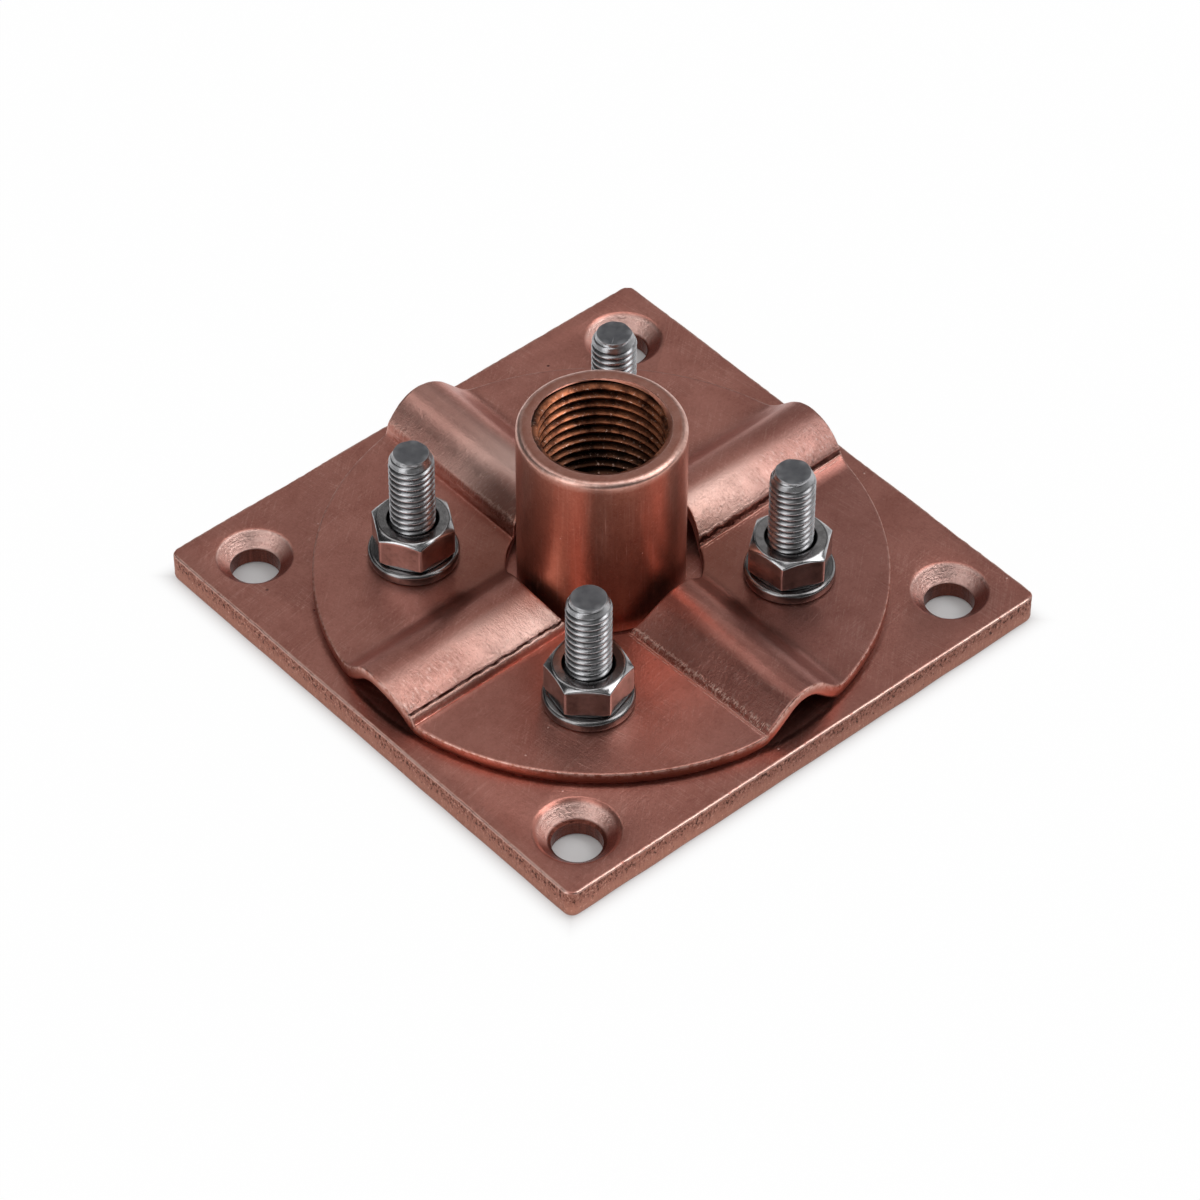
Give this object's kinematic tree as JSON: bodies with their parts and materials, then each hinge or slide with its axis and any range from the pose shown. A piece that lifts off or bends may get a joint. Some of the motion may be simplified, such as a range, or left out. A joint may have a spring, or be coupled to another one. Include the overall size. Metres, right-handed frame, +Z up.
{
  "type": "air terminal base",
  "caption": "Square copper base plate with a threaded boss for an air rod and a round pressed cover, held by nuts on studs, that clamps crossing round conductors.",
  "frame": {"origin": "middle of the base plate's underside", "axes": "+Z up along the boss; X and Y square to the plate's sides and along the conductor channels"},
  "size_m": [0.08, 0.08, 0.0308],
  "materials": {
    "plate_copper": null,
    "boss_copper": null,
    "cover_copper": null,
    "stud_steel": "bright rolled thread, matt grey end",
    "washer_steel": "smooth, semi-bright",
    "nut_steel": "smooth dark steel with bright bevels"
  },
  "bodies": {
    "base": {"base_plate": "plate_copper", "rod_boss": "boss_copper", "stud_front": "stud_steel", "stud_right": "stud_steel", "stud_back": "stud_steel", "stud_left": "stud_steel"},
    "cover": {"clamp_cover": "cover_copper", "washer_front": "washer_steel", "washer_right": "washer_steel", "washer_back": "washer_steel", "washer_left": "washer_steel"},
    "front_nut": {"nut_front": "nut_steel"},
    "right_nut": {"nut_right": "nut_steel"},
    "back_nut": {"nut_back": "nut_steel"},
    "left_nut": {"nut_left": "nut_steel"}
  },
  "joints": [
    {"name": "cover_lift", "type": "slide", "parent": "base", "child": "cover", "axis": [0, 0, 1], "range_m": [0, 0.008]},
    {"name": "front_nut_turn", "type": "hinge", "parent": "cover", "child": "front_nut", "pos_m": [-0.01725, -0.01725, 0.0079], "axis": [0, 0, 1], "range_deg": [0, 2880]},
    {"name": "right_nut_turn", "type": "hinge", "parent": "cover", "child": "right_nut", "pos_m": [0.01725, -0.01725, 0.0079], "axis": [0, 0, 1], "range_deg": [0, 2880]},
    {"name": "back_nut_turn", "type": "hinge", "parent": "cover", "child": "back_nut", "pos_m": [0.01725, 0.01725, 0.0079], "axis": [0, 0, 1], "range_deg": [0, 2880]},
    {"name": "left_nut_turn", "type": "hinge", "parent": "cover", "child": "left_nut", "pos_m": [-0.01725, 0.01725, 0.0079], "axis": [0, 0, 1], "range_deg": [0, 2880]}
  ],
  "couplings": [
    {"joint": "front_nut_turn", "follows": "cover_lift", "rad_per_m": 6283.2},
    {"joint": "right_nut_turn", "follows": "cover_lift", "rad_per_m": 6283.2},
    {"joint": "back_nut_turn", "follows": "cover_lift", "rad_per_m": 6283.2},
    {"joint": "left_nut_turn", "follows": "cover_lift", "rad_per_m": 6283.2}
  ]
}
